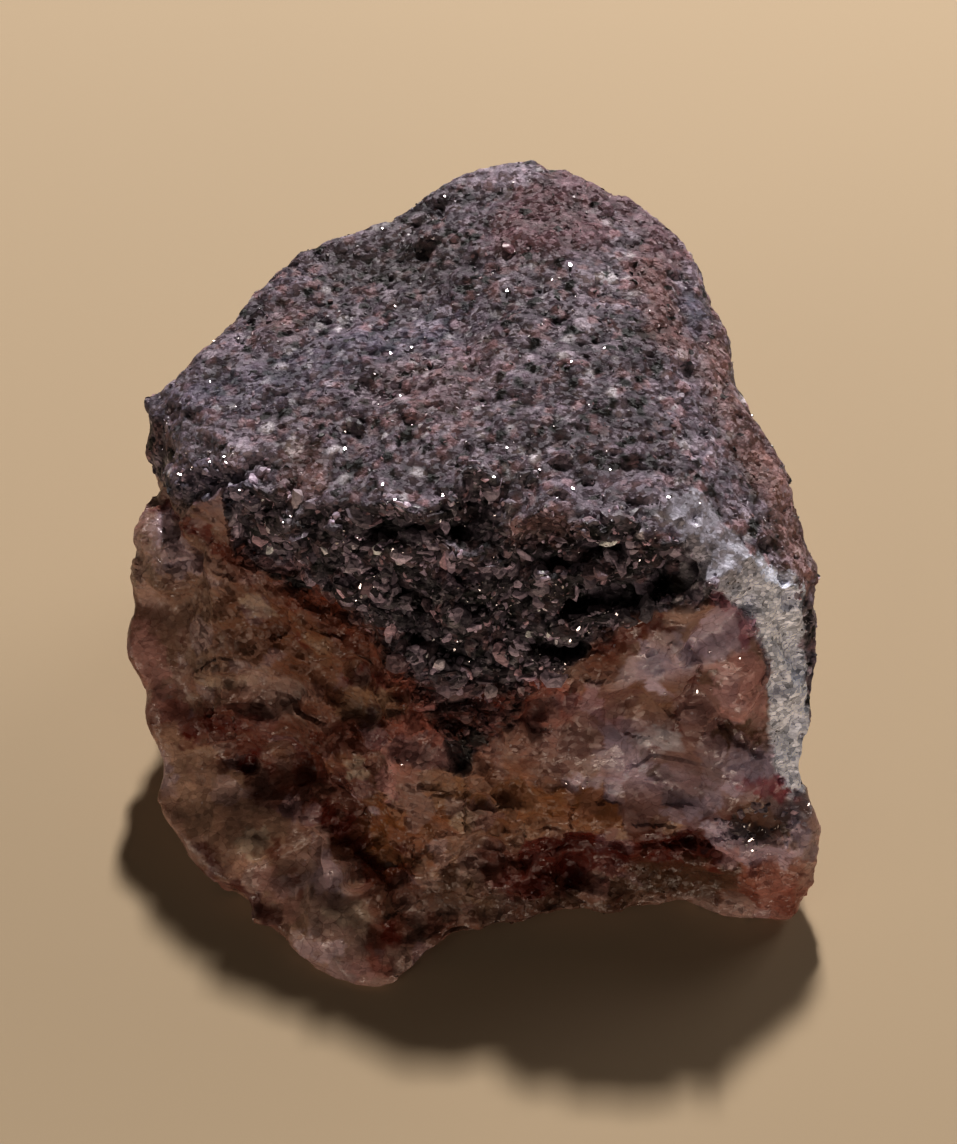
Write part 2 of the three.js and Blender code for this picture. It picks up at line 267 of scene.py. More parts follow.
# Round pits and lumps: [pixel, reach mm, height mm], a pit with its height below zero.
SPOTS = [
    [(250, 765), 0.95, -0.8],
    [(212, 664), 0.45, -0.6],
    [(295, 583), 0.45, -0.6],
    [(355, 672), 0.8, -0.5],
    [(785, 578), 0.7, -0.5],
    [(792, 600), 0.8, -0.5],
    [(712, 548), 0.6, -0.35],
    [(498, 848), 0.35, -0.3],
    [(570, 870), 1.6, -0.9],
    [(255, 850), 1.4, 0.35],
    [(342, 925), 1.8, 0.4],
    [(400, 765), 1.3, 0.5],
    [(415, 735), 1.0, 0.4],
    [(384, 790), 0.9, 0.3],
]

SOFTENING_ROUNDS, TOE_ROUNDS = 3, 14         # how often the solid, and its toe again, are smoothed
CLEFT_WANDER = 0.3                           # mm, how far a cleft's edge strays
RELIEF_START = 1.2                           # mm above the ground over which the relief fades in
CUT_OVER, SMOOTHED_OVER = 0.02, 0.01         # mm above the ground, so that the flat base stays as it is
SEEN_EDGE, HIDDEN_EDGE = 0.37, 0.7           # mm, the longest edges of the skin's triangles
CUTTING_ROUNDS = 3
# The smooth quartz: pixels along its middle, and its reach to both sides in mm.
CLEAR_FRONT, CLEAR_REACH = [(690, 640), (700, 700), (640, 770), (740, 770)], 6.0
CLEAR_TOE, TOE_REACH = [(150, 640), (165, 780), (230, 830), (300, 890), (345, 945)], 4.2
# How each kind breaks: (size mm, bowl, tilt, step, the number it draws with).
GRAIN, COARSE_GRAIN = (0.62, 0.45, 0.5, 0.3, 400), (1.5, 0.25, 0.35, 0.15, 410)
BLOCK, BLOCK_STRETCH = (1.9, 0.35, 0.8, 0.95, 430), (1.4, 1, 0.6)    # on the crust's broken front
WRINKLE = (0.9, 0.5, 0.6, 0.3, 450)                                  # on its pale band
FACE, SMALL_FACE = (4.0, 0.16, 0.3, 0.06, 500), (1.5, 0.22, 0.45, 0.18, 520)
SUGAR, FLAKY_STRETCH = (0.6, 0.35, 0.55, 0.3, 540), np.array([0.6, 1.0, 1.5])


def bowls(points, form, stretch=(1, 1, 1)):
    """The height in millimetres of one kind of break."""
    return scoops(points, *form, stretch)[0]


def crust_relief(points, facing):
    """Grains and pits all over, with blocks on the broken front and scallops on the pale band."""
    coarse = -bowls(points, COARSE_GRAIN)
    blocks = -bowls(points, BLOCK, BLOCK_STRETCH)
    pits = ramp(wave_noise(points, 1.0, 440), 0.5, 0.8)
    lumps = 0.16 * wave_noise(points, 2.2, 411) + 0.05 * wave_noise(points, 4, 409)
    top = -0.6 * bowls(points, GRAIN) + 0.45 * coarse - 0.24 * pits + lumps
    pale = 0.7 * bowls(points, WRINKLE) + 0.2 * coarse - 0.25 * pits
    return mix(top + broken_share(points, facing) * blocks, pale, pale_share(points))


def glassy_share(points):
    """1 on the smooth, clearer quartz, 0 where it is sugary."""
    front, toe = distance_to(points, CLEAR_FRONT) / CLEAR_REACH, distance_to(points, CLEAR_TOE) / TOE_REACH
    return 1 - ramp(np.minimum(front, toe) + 0.15 * wave_noise(points, 2, 565), 0.8, 1.1)


def quartz_relief(points):
    """Flat broken faces of three sizes, the finest most in sugary patches, all low on the worn toe."""
    sugary = ramp(wave_noise(points, 5, 560), -0.4, 0.4)
    flaky = 1 - np.abs(cloud_noise(points * FLAKY_STRETCH, 1.6, 580, 4))
    rough = (0.35 + 0.4 * sugary) * bowls(points, SUGAR) + 0.18 * (flaky - flaky.mean())
    glassy = glassy_share(points)
    toe = 1 - ramp(distance_to(points, CLEAR_TOE) / TOE_REACH, 0.7, 1.1)
    large = mix(mix(0.8, 0.7, glassy), 0.3, toe) * bowls(points, FACE)
    small = mix(mix(0.6, 0.4, glassy), 0.2, toe) * bowls(points, SMALL_FACE)
    return large + small + mix(1.0, 0.05, glassy) * rough


def hollow_shade(points):
    """Painted shade and painted highlight: how much darker the hollows and how much paler the edges of the
    fine relief are painted, less so on the smooth quartz and lighter on the pale band.
    """
    quartz = bowls(points, SMALL_FACE) + bowls(points, SUGAR)
    crust = -bowls(points, GRAIN) - 0.6 * bowls(points, COARSE_GRAIN)
    quartz_tone = mix(0.9, 1.1, ramp(quartz / quartz.std(), -1.7, 2.2))
    quartz_tone = mix(quartz_tone, 1.0, 0.6 * glassy_share(points))
    crust_tone = mix(0.62, 1.32, ramp(crust / crust.std(), -2.0, 2.0))
    crust_tone = mix(crust_tone, 1.1, 0.7 * pale_share(points))
    return mix(quartz_tone, crust_tone, crust_share(points))


def fine_relief(points, facing):
    """How far the skin rises over the softened solid."""
    height = mix(quartz_relief(points), crust_relief(points, facing), crust_share(points))
    stray = wander(points, 0.22)
    for pixels, half_width, depth in CLEFTS + CRACKS:
        away = distance_to(points, pixels) + stray
        height -= depth * (1 - ramp(away, 0.4 * half_width, 1.2 * half_width))
    for pixel, reach, swell in SPOTS:
        away = distance_to(points, [pixel]) + stray
        height += swell * (1 - ramp(away, 0.2 * reach, 1.1 * reach))
    return height * ramp(points[:, 2], 0, RELIEF_START)


def cut_long_edges(skin, wanted, longest):
    """Halves the edges that are too long, a few times over, where they are wanted."""
    for _ in range(CUTTING_ROUNDS):
        edges = [edge for edge in skin.edges if edge.calc_length() > longest and wanted(edge)]
        bmesh.ops.subdivide_edges(skin, edges=edges, cuts=1, use_grid_fill=True)
        bmesh.ops.triangulate(skin, faces=[face for face in skin.faces if len(face.verts) > 3])
        skin.normal_update()


def off_the_base(edge):
    return max(corner.co.z for corner in edge.verts) > CUT_OVER


def turned_to_the_eye(edge):
    return any(face.normal.dot(TO_EYE) > 0 for face in edge.link_faces)


def skin_arrays():
    """The solid's skin with finer triangles, finest where the camera looks, and the way each point faces."""
    skin = solid.shell.copy()
    cut_long_edges(skin, off_the_base, HIDDEN_EDGE)
    cut_long_edges(skin, turned_to_the_eye, SEEN_EDGE)
    above = [corner for corner in skin.verts if corner.co.z > SMOOTHED_OVER]
    on_toe = distance_to(np.array([corner.co for corner in above]), CLEAR_TOE) < 0.9 * TOE_REACH
    toe = [corner for corner, wanted in zip(above, on_toe) if wanted]
    every_way = {"use_axis_x": True, "use_axis_y": True, "use_axis_z": True}
    for corners in [above] * SOFTENING_ROUNDS + [toe] * TOE_ROUNDS:
        bmesh.ops.smooth_vert(skin, verts=corners, factor=0.5, **every_way)
    skin.normal_update()
    skin.verts.index_update()
    points = np.array([corner.co for corner in skin.verts])
    facing = np.array([corner.normal for corner in skin.verts])
    faces = np.array([[corner.index for corner in face.verts] for face in skin.faces])
    skin.free()
    return points, facing, faces


# ---- Colours ----

def srgb(red, green, blue):
    """A colour as a screen shows it, 0 to 255, made linear."""
    screen = np.array([red, green, blue]) / 255
    return np.where(screen <= 0.04045, screen / 12.92, ((screen + 0.055) / 1.055) ** 2.4)


CRUST_TONES = [                              # [share of the grains, colour]
    [0.10, srgb(30, 25, 28)],
    [0.20, srgb(108, 94, 108)],
    [0.36, srgb(142, 126, 140)],
    [0.17, srgb(162, 130, 137)],
    [0.13, srgb(180, 165, 178)],
    [0.04, srgb(222, 212, 220)],
]
BLACK, SOOT, DIP_SHADE = srgb(20, 16, 16), srgb(60, 48, 48), srgb(84, 76, 76)
MILKY, SMOKY, BUFF = srgb(186, 158, 150), srgb(128, 92, 76), srgb(162, 130, 106)
ASHEN, FAWN, LIVER = srgb(144, 114, 98), srgb(118, 71, 42), srgb(104, 45, 26)
RUST, OXBLOOD, DARK_RED = srgb(118, 58, 36), srgb(104, 36, 22), srgb(82, 22, 14)
OCHRE, TAN, CREAM = srgb(148, 98, 58), srgb(176, 142, 122), srgb(208, 190, 172)
BRICK, DULL_RED, SALMON = srgb(150, 108, 106), srgb(142, 104, 112), srgb(180, 134, 126)
CORAL, ROSE, PLUM = srgb(176, 104, 88), srgb(200, 152, 148), srgb(150, 62, 78)
LILAC, PALE_LILAC, GREY_LILAC = srgb(212, 194, 212), srgb(160, 156, 168), srgb(190, 173, 192)
BLUISH, STEEL = srgb(124, 120, 146), srgb(136, 126, 136)
FROST, WHITE = srgb(236, 240, 255), srgb(240, 234, 232)
CLEAR_BROWN, DARK_BROWN = srgb(146, 112, 108), srgb(94, 66, 48)
AMBER, DULL_PINK = srgb(140, 104, 76), srgb(168, 124, 128)

# Colour that lies on the stone, painted in the order of the lists:
# [pixels along it, reach mm, softness as a share of the reach, colour, strength].
BROAD_STAINS = [
    # upper face
    [[(170, 400), (260, 385), (360, 345), (450, 328)], 2.6, 0.9, BLUISH, 0.4],
    # painted shade: the dark dip on the upper face
    [[(400, 232), (440, 262), (350, 262)], 2.6, 0.6, DIP_SHADE, 0.5],
    [[(540, 205), (575, 225), (520, 230)], 3.2, 0.6, DULL_RED, 0.8],
    [[(575, 178), (640, 215), (668, 250)], 2.4, 0.7, DULL_RED, 0.65],
    [[(650, 270), (665, 310), (670, 335)], 2.2, 0.6, BRICK, 0.8],
    [[(715, 345), (722, 400), (760, 460)], 2.2, 0.7, SALMON, 0.5],
    [[(765, 470), (790, 520), (802, 560)], 2.6, 0.7, SALMON, 0.6],
    [[(690, 380), (700, 440), (740, 500)], 1.8, 0.7, GREY_LILAC, 0.3],
    [[(400, 385), (445, 395), (470, 360)], 3.0, 0.8, ROSE, 0.2],
    # left flank, front left and toe
    [[(180, 560), (200, 620), (205, 670)], 5.0, 0.5, ASHEN, 0.85],
    [[(265, 620), (330, 660), (370, 700)], 4.2, 0.6, FAWN, 0.85],
    [[(165, 722), (240, 728), (330, 745), (385, 725)], 2.4, 0.7, LIVER, 0.85],
    [[(300, 775), (345, 800), (385, 860)], 3.0, 0.6, LIVER, 0.9],
    [[(165, 775), (215, 805), (270, 870), (310, 915)], 3.2, 0.4, TAN, 0.92],
    [[(315, 870), (335, 920), (345, 950)], 2.8, 0.5, MILKY, 0.75],
    # shelf and the red rock over it
    [[(385, 830), (450, 815), (540, 795), (610, 812)], 3.2, 0.6, OCHRE, 0.9],
    [[(440, 790), (500, 800)], 1.8, 0.7, BUFF, 0.5],
    [[(400, 705), (465, 725), (540, 705)], 2.6, 0.6, LIVER, 0.75],
    [[(405, 765), (420, 735)], 2.0, 0.5, CORAL, 0.45],
    # clear quartz
    [[(560, 735), (640, 720), (700, 720), (740, 700), (700, 790)], 4.0, 0.5, CLEAR_BROWN, 0.85],
    [[(655, 672), (690, 650), (725, 628)], 2.2, 0.5, LILAC, 0.85],
    [[(625, 740), (630, 775), (690, 790), (735, 765), (770, 762)], 2.0, 0.6, GREY_LILAC, 0.9],
    [[(672, 797), (705, 772)], 1.7, 0.6, DARK_BROWN, 0.6],
    [[(735, 670), (745, 705)], 1.9, 0.5, ROSE, 0.85],
    [[(575, 700), (600, 712)], 1.6, 0.6, DULL_PINK, 0.8],
    [[(620, 700), (672, 700)], 1.0, 0.7, AMBER, 0.7],
    [[(640, 805), (670, 805)], 1.2, 0.6, CLEAR_BROWN, 0.8],
    # hollow under the shelf, its lip and the right foot
    [[(430, 900), (520, 912), (620, 905)], 2.0, 0.7, DARK_BROWN, 0.75],
    [[(500, 872), (600, 856), (700, 846)], 2.4, 0.5, OXBLOOD, 0.97],
    [[(655, 885), (690, 880), (725, 885)], 2.4, 0.5, DARK_BROWN, 0.92],
    [[(765, 875), (785, 900)], 3.0, 0.6, CORAL, 0.6],
]
FINE_STAINS = [
    # upper face
    [[(485, 178), (520, 172)], 1.6, 0.5, LILAC, 0.6],
    [[(690, 300), (700, 330)], 1.5, 0.5, BLUISH, 0.5],
    [[(284, 320)], 2.2, 0.6, ROSE, 0.25],
    [[(300, 455), (305, 480)], 1.9, 0.5, SALMON, 0.4],
    [[(292, 448)], 1.0, 0.5, WHITE, 0.35],
    [[(190, 445), (245, 452)], 2.4, 0.6, LILAC, 0.3],
    [[(575, 492), (650, 488)], 2.2, 0.7, GREY_LILAC, 0.35],
    [[(180, 478), (235, 490)], 1.8, 0.6, BLUISH, 0.4],
    [[(520, 530), (560, 525)], 1.4, 0.6, SALMON, 0.35],
    # rust along the contact
    [[(165, 508), (200, 532), (225, 555)], 0.9, 0.6, OXBLOOD, 0.9],
    [[(225, 555), (262, 575), (320, 605)], 1.2, 0.8, RUST, 0.8],
    [[(320, 605), (365, 640), (395, 680)], 1.5, 0.8, RUST, 0.75],
    [[(395, 680), (425, 720)], 1.0, 0.7, CORAL, 0.5],
    [[(605, 650), (640, 628), (660, 622)], 0.8, 0.7, OXBLOOD, 0.8],
    [[(722, 596), (740, 612), (745, 640)], 0.8, 0.7, PLUM, 0.6],
    # left flank
    [[(165, 530), (185, 560)], 1.6, 0.6, LILAC, 0.45],
    [[(150, 545), (150, 600)], 1.1, 0.6, MILKY, 0.6],
    [[(140, 640), (150, 665), (152, 692)], 1.5, 0.4, SALMON, 0.9],
    [[(250, 600), (262, 608)], 0.9, 0.6, CREAM, 0.45],
    [[(225, 640), (230, 650)], 0.35, 0.4, WHITE, 0.6],
    [[(215, 680), (245, 682)], 0.9, 0.6, CREAM, 0.4],
    [[(310, 640), (325, 655)], 0.9, 0.6, BUFF, 0.6],
    [[(355, 700), (385, 705)], 1.6, 0.5, BUFF, 0.75],
    [[(292, 632), (300, 640)], 0.7, 0.5, OXBLOOD, 0.7],
    [[(350, 676), (378, 682)], 0.6, 0.5, OXBLOOD, 0.9],
    [[(335, 632), (340, 640)], 0.5, 0.5, OXBLOOD, 0.9],
    # painted shade: black in the two pits
    [[(212, 664)], 0.5, 0.3, BLACK, 0.95],
    [[(293, 583), (300, 585)], 0.5, 0.4, BLACK, 0.95],
    [[(188, 738), (215, 722), (245, 728)], 0.8, 0.5, OXBLOOD, 0.9],
    [[(252, 712), (258, 722)], 0.6, 0.5, DARK_RED, 0.8],
    [[(170, 738), (195, 748)], 0.5, 0.7, TAN, 0.6],
    [[(250, 765)], 1.15, 0.3, OXBLOOD, 0.95],
    [[(252, 768)], 0.6, 0.6, DARK_RED, 0.9],
    [[(275, 752), (310, 758), (345, 762)], 0.6, 0.7, OCHRE, 0.6],
    [[(352, 768), (362, 762)], 0.5, 0.5, CREAM, 0.6],
    # the dark groove and the band beside it
    [[(325, 812), (350, 840), (375, 866), (392, 872)], 1.0, 0.5, OXBLOOD, 0.95],
    [[(335, 820), (360, 850)], 0.5, 0.6, DARK_RED, 0.8],
    [[(205, 852), (240, 890), (275, 922)], 0.8, 0.7, DARK_RED, 0.8],
    [[(160, 765), (165, 785)], 1.1, 0.6, GREY_LILAC, 0.45],
    [[(252, 843)], 1.25, 0.25, CREAM, 0.65],
    [[(272, 838), (285, 856)], 0.6, 0.6, RUST, 0.7],
    [[(258, 872), (278, 892), (294, 912)], 0.9, 0.3, SALMON, 0.55],
    [[(290, 868), (305, 888)], 0.35, 0.6, RUST, 0.7],
    [[(318, 862), (332, 888)], 1.2, 0.3, LILAC, 0.4],
    # toe
    [[(335, 912), (358, 916)], 1.1, 0.4, CREAM, 0.5],
    [[(305, 945), (330, 950)], 1.1, 0.5, LILAC, 0.4],
    [[(386, 935)], 1.1, 0.4, OXBLOOD, 0.95],
    [[(372, 955), (382, 970)], 1.0, 0.6, CORAL, 0.7],
    [[(350, 968), (362, 976)], 0.8, 0.6, ROSE, 0.8],
    [[(400, 920), (440, 930)], 1.1, 0.7, RUST, 0.6],
    # shelf
    [[(392, 748), (398, 772), (388, 788)], 1.0, 0.4, ROSE, 0.85],
    [[(356, 806), (368, 812)], 0.6, 0.5, LILAC, 0.7],
    [[(425, 725), (432, 740)], 0.9, 0.5, CORAL, 0.7],
    [[(465, 820)], 0.9, 0.5, CREAM, 0.45],
    [[(425, 825)], 0.35, 0.4, OXBLOOD, 0.9],
    [[(388, 846), (405, 848)], 0.4, 0.6, OXBLOOD, 0.8],
    [[(560, 745), (575, 760)], 1.5, 0.6, CLEAR_BROWN, 0.7],
    [[(490, 700), (525, 698)], 0.6, 0.6, OXBLOOD, 0.85],
    [[(540, 688), (572, 690)], 0.8, 0.6, CORAL, 0.7],
    [[(520, 715), (560, 718)], 0.8, 0.7, CORAL, 0.5],
    # painted shade: black in the small cleft, and a black spot beside it
    [[(455, 745), (462, 762)], 1.0, 0.3, BLACK, 0.95],
    [[(476, 735), (480, 745)], 0.6, 0.4, BLACK, 0.9],
    [[(572, 780), (595, 784)], 0.7, 0.5, LILAC, 0.7],
    # clear quartz
    [[(655, 660), (685, 655)], 1.2, 0.5, BLUISH, 0.5],
    [[(640, 655), (655, 648)], 0.6, 0.6, LILAC, 0.6],
    [[(605, 765), (625, 748), (635, 772)], 1.5, 0.5, LILAC, 0.35],
    [[(645, 742), (665, 732)], 0.9, 0.4, FROST, 0.4],
    [[(600, 800), (640, 770), (672, 745)], 0.35, 0.5, FROST, 0.4],
    [[(690, 700), (715, 715)], 1.4, 0.3, CLEAR_BROWN, 0.85],
    [[(702, 672), (715, 675)], 0.7, 0.5, DARK_BROWN, 0.8],
    [[(700, 668), (690, 692), (674, 712), (680, 740)], 0.3, 0.6, OXBLOOD, 0.9],
    [[(724, 738), (742, 728), (762, 742)], 0.75, 0.4, DARK_BROWN, 0.9],
    [[(648, 772), (662, 758)], 0.45, 0.6, DARK_BROWN, 0.7],
    [[(672, 812), (698, 812)], 0.7, 0.5, GREY_LILAC, 0.7],
    [[(625, 805), (640, 812)], 0.8, 0.4, CLEAR_BROWN, 0.7],
    # right foot
    [[(745, 785), (775, 786), (785, 798)], 0.8, 0.9, PLUM, 0.8],
    [[(735, 755), (765, 758)], 0.9, 0.6, GREY_LILAC, 0.6],
    [[(720, 842), (750, 852), (785, 852)], 1.3, 0.6, LILAC, 0.7],
    [[(706, 826), (722, 826)], 0.8, 0.5, LILAC, 0.9],
    [[(735, 820), (765, 838), (785, 825)], 0.7, 0.5, SOOT, 0.85],
    [[(725, 848), (740, 852)], 0.7, 0.6, ROSE, 0.7],
    [[(800, 825), (806, 838)], 0.9, 0.5, GREY_LILAC, 0.8],
    # hollow under the shelf
    [[(560, 842), (600, 852), (622, 858)], 0.8, 0.5, DARK_RED, 0.95],
    [[(640, 875), (690, 885), (715, 878)], 1.3, 0.6, DARK_BROWN, 0.7],
    [[(550, 885), (565, 875)], 1.5, 0.3, DARK_RED, 0.7],
    [[(655, 845), (690, 838)], 0.7, 0.6, DARK_RED, 0.9],
    [[(505, 880), (518, 884)], 0.7, 0.5, OXBLOOD, 0.9],
    [[(470, 895), (485, 900)], 0.8, 0.6, BUFF, 0.6],
    # the shelf's thin bright rim
    [[(400, 868), (432, 870), (500, 848), (530, 833), (575, 823), (612, 832), (690, 824)],
     0.22, 0.6, TAN, 0.9],
]

STREAK_STRETCH = np.array([0.3, 1.0, 1.6])   # the crust's layers run level across the front
PALE_HEIGHTS = (22, 27)                      # mm: the pale band is frosty below these and lilac above, partly painted light: paler below in shade, darker above where the key lamp falls
GAP_SHADE = 0.75                             # how much darker the skin is between the blocks
KEY_LIT_SHADE = 0.7                              # painted shade: how much darker the crust is outside its pale band and broken front, where the key lamp falls
RAGGED = 0.35                                # mm, how far a stain's edge wanders
FACE_TONES = [                               # [colour, strength, the faces that take it, from and to]
    [OXBLOOD, 0.16, 0.0, 0.14],
    [TAN, 0.15, 0.14, 0.28],
    [ROSE, 0.15, 0.28, 0.38],
    [GREY_LILAC, 0.2, 0.38, 0.5],
]


def tone_of(cells, salt):
    """One of the crust's tones for each grain."""
    draw = scatter(cells, salt)
    shares = np.cumsum([share for share, _ in CRUST_TONES])
    tones = np.array([tone for _, tone in CRUST_TONES])
    return tones[np.minimum(np.searchsorted(shares, draw), len(tones) - 1)]


def painted(points, colour, stains):
    """The colours with a list of stains laid over them."""
    ragged = cloud_noise(points, 1.3, 600)
    for pixels, reach, softness, tone, strength in stains:
        edge = distance_to(points, pixels) / reach + RAGGED / max(reach, 1) * ragged
        colour = mix_colour(colour, tone, strength * (1 - ramp(edge, 1 - softness, 1 + 0.5 * softness)))
    return colour


def crust_stained(points, colour):
    """Grain tones with the crust's streaks and stains, its pale band, and its clefts painted black as shade.
    """
    streak = cloud_noise(points * STREAK_STRETCH, 1.8, 590, 4)
    colour = colour * mix(0.7, 1.3, ramp(streak, -0.7, 0.7))[:, None]
    colour = painted(points, colour, BROAD_STAINS + FINE_STAINS)
    pale = mix_colour(PALE_LILAC, FROST, 1 - ramp(points[:, 2], *PALE_HEIGHTS))
    colour = mix_colour(colour, pale, 0.95 * pale_share(points))
    # painted shade: the clefts painted black
    return mix_colour(BLACK, colour, open_share(points))


def quartz_colour(points, face, sugar):
    """Milky and smoky by turns, with rusty veins, broad stains, and a tone of its own for each face."""
    colour = mix_colour(SMOKY, MILKY, ramp(cloud_noise(points, 3.2, 620), -0.5, 0.6))
    veins = 1 - ramp(np.abs(cloud_noise(points, 4.2, 640)), 0.0, 0.12)
    colour = mix_colour(colour, RUST, 0.5 * veins)
    colour = painted(points, colour, BROAD_STAINS)
    draw = scatter(face, 715)
    for tone, strength, low, high in FACE_TONES:
        colour = mix_colour(colour, tone, strength * ((draw > low) & (draw < high)))
    return colour * (0.91 + 0.1 * scatter(face, 710) + 0.08 * scatter(sugar, 711))[:, None]


def key_lit_shade(points, facing):
    """Painted shade: how much of its colour the crust keeps, less where the key lamp falls on it, and all of
    it on its pale band and broken front.
    """
    full_tone = np.maximum(broken_share(points, facing), pale_share(points))
    return mix(KEY_LIT_SHADE, 1.0, full_tone)[:, None]


def skin_colour(rest, facing):
    """The colour of the skin, in one tone for each grain of crust and each small face of quartz."""
    _, grain, grain_seed = scoops(rest, *GRAIN)
    _, face, face_seed = scoops(rest, *SMALL_FACE)
    _, sugar, sugar_seed = scoops(rest, *SUGAR)
    quartz = quartz_colour(mix(rest, face_seed, 0.5), face, sugar)
    quartz = painted(mix(rest, sugar_seed, 0.8), quartz, FINE_STAINS)
    gaps = 1 - GAP_SHADE * broken_share(rest, facing) * (1 - pale_share(rest))
    crust = crust_stained(grain_seed, tone_of(grain, 720) * gaps[:, None]) * key_lit_shade(rest, facing)
    # painted shade in the hollows and painted highlight on the edges of the fine relief
    return mix_colour(quartz, crust, crust_share(rest)) * hollow_shade(rest)[:, None]


def set_colour(made, colour):
    layer = made.data.color_attributes.new("tint", "FLOAT_COLOR", "POINT")
    opaque = np.hstack([colour, np.ones((len(colour), 1))])
    layer.data.foreach_set("color", opaque.astype(np.float32).ravel())


def set_share(made, name, values):
    layer = made.data.attributes.new(name, "FLOAT", "POINT")
    layer.data.foreach_set("value", values.astype(np.float32))


# ---- Materials ----

class Nodes:
    """Shorthand for building one material's node tree."""

    def __init__(self, name):
        self.material = bpy.data.materials.new(name)
        self.material.use_nodes = True
        self.tree = self.material.node_tree
        self.shader = self.tree.nodes["Principled BSDF"]

    def add(self, kind, settings=None, **inputs):
        node = self.tree.nodes.new(kind)
        for key, value in (settings or {}).items():
            setattr(node, key, value)
        self.feed_all(node, inputs)
        return node

    def feed(self, socket, value):
        if isinstance(value, bpy.types.NodeSocket):
            self.tree.links.new(value, socket)
        else:
            socket.default_value = value

    def feed_all(self, node, inputs):
        """Feeds a node's sockets by name, with _ for a space."""
        for key, value in inputs.items():
            self.feed(node.inputs[key.replace("_", " ")], value)

    def finished(self, **inputs):
        """The material, once its shader is fed."""
        self.feed_all(self.shader, inputs)
        return self.material

    def attribute(self, name, output):
        return self.add("ShaderNodeAttribute", {"attribute_name": name}).outputs[output]

    def place(self, scale):
        """The point in the part's frame, in steps of so many millimetres each way."""
        where = self.add("ShaderNodeTexCoord").outputs["Object"]
        stretched = self.add("ShaderNodeVectorMath", {"operation": "MULTIPLY"})
        self.feed(stretched.inputs[0], where)
        stretched.inputs[1].default_value = [1 / (size * MM) for size in scale]
        return stretched.outputs[0]

    def warp(self, size, reach):
        """A wander of the place, in cells, that makes straight joints uneven."""
        return self.vectors("MULTIPLY", self.noise(size, output="Color"), (reach, reach, reach))

    def noise(self, size, detail=3.0, roughness=0.6, stretch=(1, 1, 1), output="Fac"):
        vector = self.place([size * s for s in stretch])
        node = self.add("ShaderNodeTexNoise", Vector=vector, Scale=1.0, Detail=detail, Roughness=roughness)
        return node.outputs[output]

    def vectors(self, operation, first, second):
        node = self.add("ShaderNodeVectorMath", {"operation": operation})
        self.feed(node.inputs[0], first)
        self.feed(node.inputs[1], second)
        return node.outputs["Value" if operation == "DOT_PRODUCT" else 0]

    def cells(self, size, stretch=(1, 1, 1), feature="F1", warp=None):
        vector = self.place([size * s for s in stretch])
        if warp is not None:
            vector = self.vectors("ADD", vector, warp)
        return self.add("ShaderNodeTexVoronoi", {"feature": feature}, Vector=vector, Scale=1.0)

    def facets(self, cells, size, slope, step):
        """Height in millimetres of flat faces, one for each cell, each with its own slope and level."""
        where = cells.inputs["Vector"].links[0].from_socket
        away = self.vectors("SUBTRACT", where, cells.outputs["Position"])
        lean = self.vectors("SUBTRACT", cells.outputs["Color"], (0.5, 0.5, 0.5))
        sloped = self.maths("MULTIPLY", self.vectors("DOT_PRODUCT", away, lean), 2 * slope * size)
        level = self.maths("MULTIPLY", self.vectors("DOT_PRODUCT", lean, (1.0, 1.0, 1.0)), step * size)
        return self.maths("ADD", sloped, level)

    def between(self, value, low, high, to_low=0.0, to_high=1.0):
        node = self.add("ShaderNodeMapRange", {"clamp": True})
        for socket, number in zip(node.inputs, (value, low, high, to_low, to_high)):
            self.feed(socket, number)
        return node.outputs[0]

    def maths(self, operation, first, second=0.0):
        node = self.add("ShaderNodeMath", {"operation": operation})
        self.feed(node.inputs[0], first)
        self.feed(node.inputs[1], second)
        return node.outputs[0]

    def blend(self, share, first, second, mode="MIX"):
        node = self.add("ShaderNodeMix", {"data_type": "RGBA", "blend_type": mode, "clamp_factor": True})
        self.feed(node.inputs[0], share)
        self.feed(node.inputs[6], first)
        self.feed(node.inputs[7], second)
        return node.outputs[2]

    def blend_number(self, share, first, second):
        node = self.add("ShaderNodeMix", {"data_type": "FLOAT"})
        self.feed(node.inputs[0], share)
        self.feed(node.inputs[2], first)
        self.feed(node.inputs[3], second)
        return node.outputs[0]

    def toned(self, colour, value, low, high, to_low, to_high):
        """The colour made darker or brighter by a value."""
        return self.blend(1.0, colour, self.between(value, low, high, to_low, to_high), "MULTIPLY")

    def stained(self, colour, share, strength, over):
        """The colour with another laid over it, by a share times a strength."""
        return self.blend(self.maths("MULTIPLY", share, strength), colour, colour4(over))

    def bump(self, height, distance):
        return self.add("ShaderNodeBump", Height=height, Distance=distance * MM, Strength=1.0).outputs[0]


def colour4(colour):
    return (*colour, 1.0)


QUARTZ_IOR = 1.54
SPECK, SPECK_STRETCH = 0.28, (1.5, 1, 0.8)           # mm, the crust's speckles
FACET, CRUMB, CRUMB_STRETCH = 1.0, 0.38, (1.3, 1, 0.8)       # mm, the quartz's flat faces and crumbs


